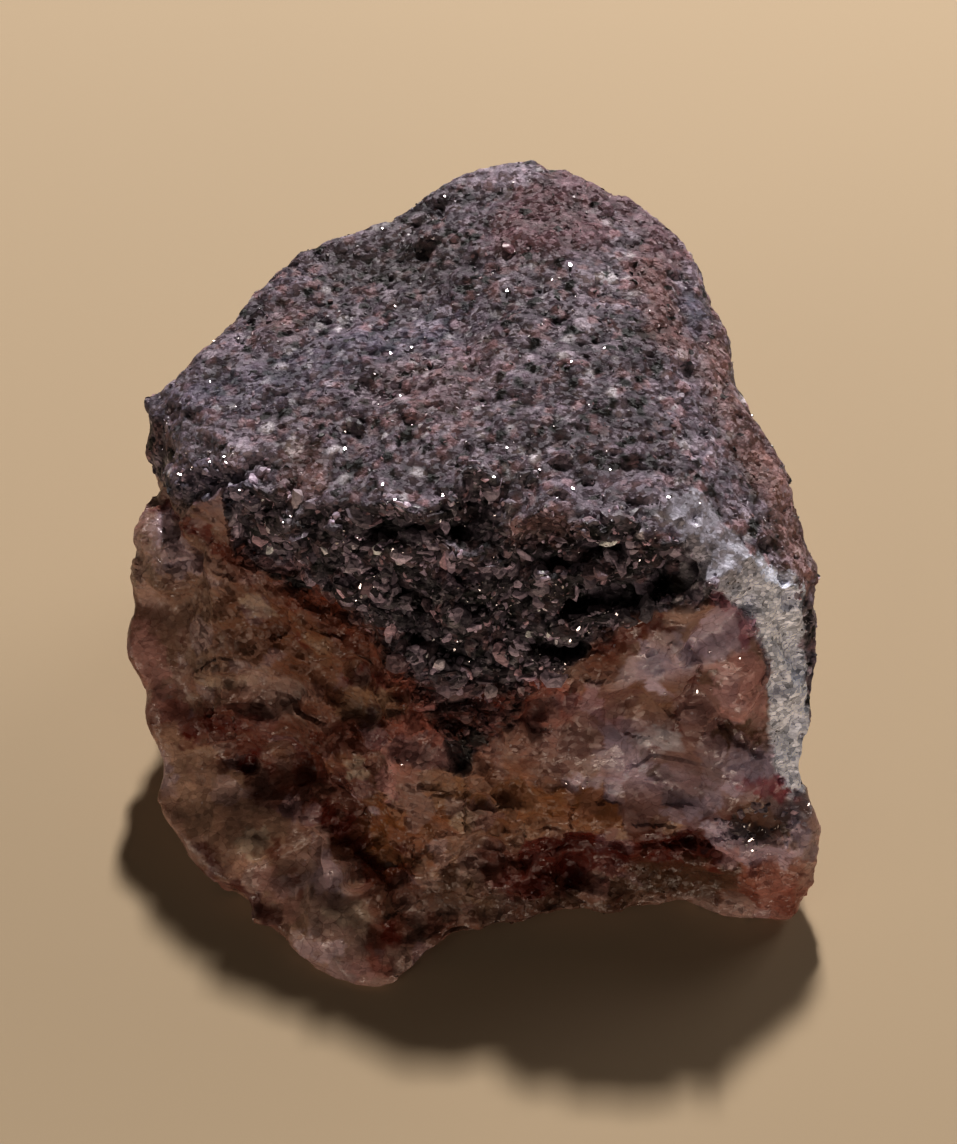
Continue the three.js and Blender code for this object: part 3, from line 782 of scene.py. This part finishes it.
def crust_look(nodes, tint):
    """Colour, roughness and height in millimetres of the crust: speckles with painted shade along their
    joints, black mica and pale flecks.
    """
    warp = nodes.warp(0.5, 0.5)
    speck = nodes.cells(SPECK, SPECK_STRETCH, warp=warp)
    tone = speck.outputs["Color"]
    colour = nodes.toned(tint, tone, 0.1, 0.9, 0.6, 1.45)
    # painted shade: darker along the joints between the speckles
    rim = nodes.cells(SPECK, SPECK_STRETCH, "DISTANCE_TO_EDGE", warp).outputs["Distance"]
    colour = nodes.toned(colour, rim, 0.0, 0.09, 0.7, 1.06)
    mica = nodes.maths("LESS_THAN", nodes.cells(0.5, (1.6, 1, 0.7), warp=warp).outputs["Color"], 0.09)
    colour = nodes.stained(colour, mica, nodes.between(tint, 0.35, 0.6, 0.88, 0.1), BLACK)
    fleck = nodes.maths("GREATER_THAN", nodes.cells(0.2).outputs["Color"], 0.93)
    colour = nodes.stained(colour, fleck, 0.4, PALE_LILAC)
    fine = nodes.maths("MULTIPLY", nodes.noise(0.25, 3.0, 0.7), 0.12)
    height = nodes.maths("ADD", nodes.facets(speck, SPECK, 0.8, 0.2), fine)
    return colour, nodes.between(tone, 0.0, 1.0, 0.75, 0.3), height


def quartz_look(nodes, tint):
    """Colour, roughness and height in millimetres of the quartz: small flat faces with clouds, dark
    joints and rusty threads."""
    warp = nodes.warp(1.0, 0.45)
    face = nodes.cells(FACET, warp=warp)
    crumb = nodes.cells(CRUMB, CRUMB_STRETCH, warp=warp)
    colour = nodes.toned(tint, face.outputs["Color"], 0.0, 1.0, 0.92, 1.1)
    colour = nodes.toned(colour, crumb.outputs["Color"], 0.0, 1.0, 0.92, 1.1)
    colour = nodes.toned(colour, nodes.noise(1.3, 4.0, 0.65), 0.3, 0.7, 0.9, 1.12)
    thread = nodes.maths("SUBTRACT", nodes.noise(0.9, 5.0, 0.7, (1.6, 1, 1)), 0.5)
    thread = nodes.between(nodes.maths("ABSOLUTE", thread), 0.0, 0.012, 0.25, 0.0)
    colour = nodes.blend(thread, colour, colour4(OXBLOOD))
    joint = nodes.cells(FACET, feature="DISTANCE_TO_EDGE", warp=warp).outputs["Distance"]
    some = nodes.between(nodes.noise(2.5, 2.0), 0.42, 0.58, 0.0, 0.45)
    colour = nodes.stained(colour, nodes.between(joint, 0.0, 0.035, 1.0, 0.0), some, OXBLOOD)
    crystal = nodes.maths("GREATER_THAN", nodes.cells(0.17).outputs["Color"], 0.96)
    colour = nodes.stained(colour, crystal, 0.25, FROST)
    fine = nodes.maths("MULTIPLY", nodes.noise(0.4, 4.0, 0.65), 0.06)
    flat = nodes.maths("ADD", nodes.facets(face, FACET, 0.25, 0.03), nodes.facets(crumb, CRUMB, 0.3, 0.05))
    gloss = nodes.between(crumb.outputs["Color"], 0.0, 1.0, 0.12, 0.5)
    return colour, gloss, nodes.maths("ADD", flat, fine)


def stone_material():
    """Milky quartz where the crust is not, and grains of many tones where it is."""
    nodes = Nodes("stone")
    tint = nodes.attribute("tint", "Color")
    crust = nodes.attribute("crust", "Fac")
    crust_colour, crust_gloss, crust_height = crust_look(nodes, tint)
    quartz_tint, quartz_gloss, quartz_height = quartz_look(nodes, tint)
    strength = nodes.between(nodes.attribute("calm", "Fac"), 0.0, 1.0, 1.0, 0.35)
    height = nodes.maths("MULTIPLY", nodes.blend_number(crust, quartz_height, crust_height), strength)
    return nodes.finished(
        Base_Color=nodes.blend(crust, quartz_tint, crust_colour),
        Roughness=nodes.blend_number(crust, quartz_gloss, crust_gloss),
        Subsurface_Weight=nodes.between(crust, 0.0, 1.0, 0.1, 0.0),
        Subsurface_Radius=(1.0, 0.5, 0.35),
        Subsurface_Scale=0.4 * MM,
        IOR=QUARTZ_IOR,
        Normal=nodes.bump(height, 1.0),
    )


def grain_material():
    """The same crust on its loose grains, each in its own tone."""
    nodes = Nodes("grain")
    tint = nodes.attribute("tint", "Color")
    colour, _, height = crust_look(nodes, tint)
    return nodes.finished(
        Base_Color=nodes.blend(0.5, tint, colour),
        Roughness=nodes.between(nodes.noise(0.8, 2.0), 0.35, 0.65, 0.25, 0.6),
        IOR=QUARTZ_IOR,
        Normal=nodes.bump(height, 0.4),
    )


def glint_material():
    """Cleavage faces of mica, as bright as metal where they face the light."""
    nodes = Nodes("glint")
    shimmer = nodes.noise(0.3)
    return nodes.finished(
        Base_Color=nodes.blend(shimmer, colour4(STEEL), colour4(WHITE)),
        Roughness=nodes.between(shimmer, 0.3, 0.7, 0.12, 0.3),
        Metallic=0.8,
    )


# ---- The stone's skin ----

def new_mesh(name, points, faces):
    """A mesh object in metres from points in millimetres."""
    mesh = bpy.data.meshes.new(name)
    mesh.from_pydata((points * MM).tolist(), [], faces.tolist())
    mesh.update()
    made = bpy.data.objects.new(name, mesh)
    bpy.context.collection.objects.link(made)
    return made


def make_part(name, points, faces, colour, material, sharp_over=20):
    """A piece of the stone with its tones and its material. Edges over so many degrees stay sharp."""
    made = new_mesh(name, points, faces)
    made.data.shade_smooth()
    made.data.set_sharp_from_angle(angle=math.radians(sharp_over))
    set_colour(made, colour)
    made.data.materials.append(material)
    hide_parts(STONE)
    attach(made, "root")
    return made


class Skin:
    """The finished skin of the stone, with the places on it where loose grains may lie."""

    def __init__(self):
        rest, facing, faces = skin_arrays()
        points = rest + facing * fine_relief(rest, facing)[:, None]
        points[:, 2] = np.maximum(points[:, 2], 0)
        self.points, self.rest, self.faces, self.point_facing = points, rest, faces, facing
        corners = points[faces]
        normal = np.cross(corners[:, 1] - corners[:, 0], corners[:, 2] - corners[:, 0])
        self.area = np.linalg.norm(normal, axis=1) / 2
        self.facing = normal / np.maximum(2 * self.area, 1e-12)[:, None]
        self.smooth_facing = facing[faces].mean(1)
        middle = rest[faces].mean(1)
        self.middle, self.height = middle, middle[:, 2]
        self.on_crust, self.clear, self.pale = crust_share(middle), open_share(middle), pale_share(middle)
        self.broken = broken_share(middle, self.smooth_facing)

    def strew(self, weight, count, rng):
        """Random places on the skin, more of them where the weight is greater.

        Gives the places, where they were before the fine relief, and the face each is on."""
        chance = self.area * weight
        faces = rng.choice(len(chance), size=count, p=chance / chance.sum())
        across = rng.random((count, 2))
        over = across.sum(1) > 1
        across[over] = 1 - across[over]
        shares = np.stack([1 - across.sum(1), across[:, 0], across[:, 1]], 1)
        corners = self.faces[faces]
        places = np.einsum("nk,nkj->nj", shares, self.points[corners])
        return places, np.einsum("nk,nkj->nj", shares, self.rest[corners]), faces


def make_skin(skin):
    colour = skin_colour(skin.rest, skin.point_facing)
    stone = make_part("stone", skin.points, skin.faces, colour, stone_material(), 28)
    set_share(stone, "crust", crust_share(skin.rest))
    set_share(stone, "calm", np.maximum(glassy_share(skin.rest), 0.8 * pale_share(skin.rest)))


# ---- Loose grains, blocks and flakes ----

def hull(points):
    """The corners and triangles of the smallest convex shape round some points."""
    body = bmesh.new()
    for point in points:
        body.verts.new(point)
    made = bmesh.ops.convex_hull(body, input=body.verts)
    inner = made["geom_interior"] + made["geom_unused"]
    spare = [item for item in inner if isinstance(item, bmesh.types.BMVert)]
    bmesh.ops.delete(body, geom=spare, context="VERTS")
    bmesh.ops.triangulate(body, faces=body.faces)
    bmesh.ops.recalc_face_normals(body, faces=body.faces)
    body.verts.index_update()
    corners = np.array([corner.co for corner in body.verts])
    faces = np.array([[corner.index for corner in face.verts] for face in body.faces])
    body.free()
    return corners, faces


def crystal_shapes(rng, count, corners):
    """Angular little stones inside a ball of radius one."""
    spreads = [rng.normal(size=(corners, 3)) for _ in range(count)]
    return [hull(spread / np.linalg.norm(spread, axis=1)[:, None]) for spread in spreads]


def plate_shapes(rng, count):
    """Thin six-sided plates, two units across."""
    shapes = []
    for _ in range(count):
        turn = np.arange(6) * math.tau / 6 + 0.3 * rng.random(6)
        reach = 0.7 + 0.3 * rng.random(6)
        rim = np.stack([np.cos(turn) * reach, np.sin(turn) * reach, np.ones(6)], 1)
        shapes.append(hull(np.vstack([rim, rim * (0.92, 0.92, -1)])))
    return shapes


def frames_from(upward, rng):
    """Turns whose third axis is the given direction, each spun at random about it."""
    upward = upward / np.linalg.norm(upward, axis=1)[:, None]
    side = np.cross(upward, rng.normal(size=upward.shape))
    side /= np.linalg.norm(side, axis=1)[:, None]
    return np.stack([side, np.cross(upward, side), upward], axis=2)


def gather(shapes, centres, turns, sizes, colours, rng):
    """One mesh of many small shapes, each scaled by its own sizes, turned and put in its place."""
    choice = rng.integers(len(shapes), size=len(centres))
    all_points, all_faces, all_colours = [], [], []
    start = 0
    for number, (corners, faces) in enumerate(shapes):
        chosen = choice == number
        placed = np.einsum("nij,nkj->nki", turns[chosen], corners[None] * sizes[chosen][:, None])
        placed += centres[chosen][:, None]
        count = len(placed)
        all_points.append(placed.reshape(-1, 3))
        offsets = start + np.arange(count) * len(corners)
        all_faces.append((faces[None] + offsets[:, None, None]).reshape(-1, 3))
        all_colours.append(np.repeat(colours[chosen], len(corners), axis=0))
        start += count * len(corners)
    return np.vstack(all_points), np.vstack(all_faces), np.vstack(all_colours)


# The kinds of small crystals: the number they draw with, how many, half their length in mm, how few are
# long, their proportions, how these vary, how far they lean, and how deep their middles lie as a share of
# half their length.
GRAINS = dict(seed=11, count=6000, half=(0.16, 0.45),
              form=(1.0, 1.0, 0.7), vary=(0.75, 0.5), lean=0.3, sunk=0.55)
BLOCKS = dict(seed=23, count=1300, half=(0.3, 1.25), few=2.5,
              form=(1.0, 0.75, 0.5), vary=(0.7, 0.6), lean=0.6, sunk=0.5)
FLAKES = dict(seed=37, count=420, half=(0.18, 0.5), form=(1.0, 0.8, 0.12), lean=0.5, sunk=0.45)
GLITTER = dict(seed=53, count=900, half=(0.06, 0.16), form=(1.2, 0.8, 0.3), lean=0.3)
FOLIATION = np.array([0.12, -0.25, 1.0])             # the way the crust's layers face
KNOB, KNOB_REACH = [(735, 828), (765, 822), (795, 825)], 1.7     # the right foot's top, pixels and mm
MICA_BLACK = srgb(30, 26, 30)


class Crystals:
    """One kind of small crystal, strewn on the skin: the place, the turn and the size of each.

    They lie level with the crust's layers, or with the skin where it says so."""

    def __init__(self, skin, weight, seed, count, half, form, lean, few=2, vary=None, sunk=0, level=True):
        self.rng = np.random.default_rng(seed)
        self.centres, self.rest, self.faces = skin.strew(weight, count, self.rng)
        self.half = half[0] + (half[1] - half[0]) * self.rng.random(count) ** few
        self.sizes = self.half[:, None] * np.array(form)
        if vary:
            self.sizes *= vary[0] + vary[1] * self.rng.random((count, 3))
        self.facing = skin.smooth_facing[self.faces]
        axis = FOLIATION if level else self.facing
        self.turns = frames_from(axis + lean * self.rng.normal(size=(count, 3)), self.rng)
        self.centres -= self.facing * (sunk * self.half)[:, None]

    def tones(self, salt):
        """One of the crust's tones for each."""
        return tone_of(self.rng.integers(1 << 20, size=self.centres.shape), salt)

    def make(self, name, shapes, colours, material):
        """All of them as one piece of the stone."""
        colours = np.broadcast_to(colours, self.centres.shape)
        made = gather(shapes, self.centres, self.turns, self.sizes, colours, self.rng)
        make_part(name, *made, material)


def make_crust_grains(skin, material):
    """Small angular crystals half sunk in the crust."""
    weight = skin.on_crust * ramp(skin.height, 2, 4) * skin.clear * (1 - 0.8 * skin.pale)
    grains = Crystals(skin, weight, level=False, **GRAINS)
    colours = crust_stained(grains.rest, grains.tones(730)) * key_lit_shade(grains.rest, grains.facing)
    grains.make("crust_grains", crystal_shapes(grains.rng, 12, 11), colours, material)


def make_front_blocks(skin, material):
    """Blocky crystals that lie in layers on the crust's broken front and on top of the right foot."""
    weight = skin.on_crust * skin.broken * skin.clear * (ramp(skin.height, 8, 11) * (1 - skin.pale))
    weight += 1 - ramp(distance_to(skin.middle, KNOB), 0.7 * KNOB_REACH, KNOB_REACH)
    blocks = Crystals(skin, weight, **BLOCKS)
    tone = mix_colour(blocks.tones(740), STEEL, 0.4)
    tone = tone * (0.5 + 2.3 * blocks.rng.random(len(tone)) ** 1.9)[:, None]
    colours = np.minimum(crust_stained(blocks.rest, tone), 0.9)
    blocks.make("front_blocks", crystal_shapes(blocks.rng, 24, 22), colours, material)


def make_mica_flakes(skin, material):
    """Thin dark plates in the crust, level with its layers."""
    weight = skin.on_crust * ramp(skin.height, 6, 9) * (1 - 0.9 * skin.pale)
    flakes = Crystals(skin, weight, **FLAKES)
    flakes.make("mica_flakes", plate_shapes(flakes.rng, 6), MICA_BLACK, material)


def make_glitter(skin, material):
    """Tiny bright cleavage faces all over the crust, each at its own slope."""
    weight = skin.on_crust * ramp(skin.height, 6, 9) * (0.5 + 1.5 * skin.broken) * skin.clear
    glitter = Crystals(skin, weight, **GLITTER)
    glitter.centres += skin.facing[glitter.faces] * 0.3 * glitter.half[:, None]
    glitter.make("glitter", crystal_shapes(glitter.rng, 10, 9), WHITE, material)


# Bright glints: [pixel, half width mm].
GLINTS = [
    [(445, 197), 0.22], [(570, 266), 0.3], [(552, 280), 0.12], [(507, 291), 0.16], [(395, 306), 0.16],
    [(412, 348), 0.16], [(571, 362), 0.14], [(604, 349), 0.18], [(345, 450), 0.34], [(345, 432), 0.15],
    [(383, 485), 0.2], [(443, 497), 0.18], [(494, 477), 0.16], [(521, 476), 0.14], [(507, 448), 0.14],
    [(572, 489), 0.2], [(668, 498), 0.2], [(180, 475), 0.25], [(225, 457), 0.2], [(210, 462), 0.15],
    [(360, 588), 0.3], [(290, 517), 0.2], [(355, 600), 0.15], [(660, 594), 0.25], [(578, 628), 0.28],
    [(570, 640), 0.2], [(640, 560), 0.16], [(520, 600), 0.16], [(750, 840), 0.3], [(752, 850), 0.2],
    [(808, 805), 0.2], [(480, 590), 0.15], [(440, 520), 0.18], [(610, 470), 0.14], [(540, 470), 0.15],
    [(560, 680), 0.15], [(535, 655), 0.16], [(595, 610), 0.16], [(240, 490), 0.16], [(395, 500), 0.16],
]
# Places where bright crystals lie close together: [pixel, how many, how far they spread in mm].
SPARKLES = [
    [(555, 590), 9, 0.6], [(512, 605), 7, 0.5], [(578, 628), 10, 0.7], [(658, 595), 8, 0.5],
    [(672, 575), 6, 0.4], [(615, 615), 8, 0.7], [(535, 655), 7, 0.5], [(560, 672), 6, 0.4],
    [(545, 730), 4, 0.4], [(360, 588), 6, 0.5], [(290, 517), 6, 0.5], [(355, 600), 5, 0.5],
    [(345, 545), 6, 0.6], [(200, 465), 14, 1.2], [(230, 458), 8, 0.8], [(395, 540), 8, 1.0],
    [(450, 515), 10, 1.4], [(480, 595), 8, 1.0], [(440, 640), 8, 1.2], [(500, 560), 9, 1.4],
    [(750, 845), 12, 0.5], [(808, 808), 5, 0.3], [(735, 830), 6, 0.7], [(775, 832), 6, 0.6],
    [(577, 785), 6, 0.4], [(398, 763), 5, 0.4], [(680, 700), 5, 1.6], [(640, 750), 6, 1.4],
    [(720, 660), 5, 1.4], [(370, 812), 4, 0.4],
]


def on_the_skin(tree, pixels):
    """Where the finished skin shows at these pixels, and the way it faces there."""
    places, facing = [], []
    for pixel in pixels:
        target = solid.at_pixel(pixel)
        hit, normal, _, _ = tree.ray_cast(Vector(EYE), Vector(target - EYE).normalized())
        if hit is None:                       # past the finished skin's outline: the skin nearest to it
            hit, normal, _, _ = tree.find_nearest(Vector(target))
        places.append(hit)
        facing.append(normal)
    return np.array(places), np.array(facing)


def make_glints(skin, material):
    """Cleavage faces turned so that they throw the light at the camera."""
    rng = np.random.default_rng(41)
    tree = BVHTree.FromPolygons(skin.points.tolist(), skin.faces.tolist())
    pixels = [pixel for pixel, _ in GLINTS]
    widths = [width for _, width in GLINTS]
    slack = [0.05] * len(GLINTS)
    for pixel, count, spread in SPARKLES:
        reach = PIXELS_PER_MM * spread
        pixels += [tuple(pixel + reach * rng.normal(size=2) * (1.0, 0.6)) for _ in range(count)]
        widths += list(0.07 + 0.16 * rng.random(count) ** 2)
        slack += [0.3] * count
    centres, facing = on_the_skin(tree, pixels)
    widths, slack = np.array(widths), np.array(slack)
    centres = centres + 0.4 * widths[:, None] * facing
    to_eye = EYE - centres
    to_eye /= np.linalg.norm(to_eye, axis=1)[:, None]
    key, front = np.array(light_direction(*KEY_PLACE)), np.array(light_direction(*FRONT_PLACE))
    in_shade = [tree.ray_cast(Vector(place), Vector(key))[0] is not None for place in centres]
    halfway = to_eye + np.where(np.array(in_shade)[:, None], front, key)
    turns = frames_from(halfway + slack[:, None] * rng.normal(size=halfway.shape), rng)
    sizes = widths[:, None] * np.array([0.9, 0.5, 0.2]) * (0.6 + 0.6 * rng.random((len(widths), 3)))
    colours = np.broadcast_to(WHITE, centres.shape)
    make_part("glints", *gather(plate_shapes(rng, 5), centres, turns, sizes, colours, rng), material)


# ---- Stage ----

KEY_PLACE = (178, 43.5)                      # degrees: behind the stone, halfway up
FRONT_PLACE = (14, 7)                        # low in front
LAMPS = [                                    # [name, place, mm away, width and height mm, watts, colour]
    ["key", KEY_PLACE, 900, 55, 55, 10.9, (1.0, 0.97, 0.94)],
    ["side", (132, 26), 500, 200, 200, 0.6, (1.0, 0.95, 0.92)],
    ["front", FRONT_PLACE, 700, 420, 130, 1.5, (1.0, 0.86, 0.72)],
    ["left", (-58, 8), 700, 300, 130, 0.65, (1.0, 0.86, 0.72)],
    ["fill", (-40, 42), 700, 250, 250, 0.17, (1.0, 0.88, 0.76)],
]
LAMPS_LOOK_AT = 15                           # mm above the ground
SKY_COLOUR, SKY_STRENGTH = (1.0, 0.78, 0.58, 1), 0.012
PICTURE_GAMMA = 0.8                          # a phone picture's stronger contrast
FLOOR_REACH = 1500.0                         # mm


def light_direction(azimuth, elevation):
    """The way to a light. Azimuth 0 is behind the camera, 180 faces it."""
    turn, rise = math.radians(azimuth), math.radians(elevation)
    return Vector((math.sin(turn) * math.cos(rise), -math.cos(turn) * math.cos(rise), math.sin(rise)))


def make_light(name, place, distance, width, height, power, colour):
    """A soft rectangle of light that looks at the stone."""
    lamp = bpy.data.lights.new(name, "AREA")
    lamp.shape = "RECTANGLE"
    lamp.size, lamp.size_y = width * MM, height * MM
    lamp.energy = power
    lamp.color = colour
    lit = bpy.data.objects.new(name, lamp)
    towards = light_direction(*place)
    lit.location = towards * distance * MM + Vector((0, 0, LAMPS_LOOK_AT * MM))
    lit.rotation_euler = (-towards).to_track_quat("-Z", "Y").to_euler()
    bpy.context.collection.objects.link(lit)


def make_floor():
    """A plain pale floor."""
    corners = FLOOR_REACH * np.array([[-1, -1, 0], [1, -1, 0], [1, 1, 0], [-1, 1, 0]])
    floor = new_mesh("floor", corners, np.array([[0, 1, 2, 3]]))
    nodes = Nodes("floor")
    floor.data.materials.append(nodes.finished(Base_Color=colour4(srgb(187, 168, 142)), Roughness=0.8))


def make_studio():
    """The lights, a faint sky, and the picture's contrast."""
    for lamp in LAMPS:
        make_light(*lamp)
    world = bpy.data.worlds.new("studio")
    world.use_nodes = True
    sky = world.node_tree.nodes["Background"]
    sky.inputs["Color"].default_value = SKY_COLOUR
    sky.inputs["Strength"].default_value = SKY_STRENGTH
    bpy.context.scene.world = world
    settings = bpy.context.scene.view_settings
    settings.view_transform = "Standard"
    settings.gamma = PICTURE_GAMMA


make_camera()
stone_skin = Skin()
make_skin(stone_skin)
grain_looks, glint_looks = grain_material(), glint_material()
make_crust_grains(stone_skin, grain_looks)
make_front_blocks(stone_skin, grain_looks)
make_mica_flakes(stone_skin, grain_looks)
make_glitter(stone_skin, glint_looks)
make_glints(stone_skin, glint_looks)
make_floor()
make_studio()
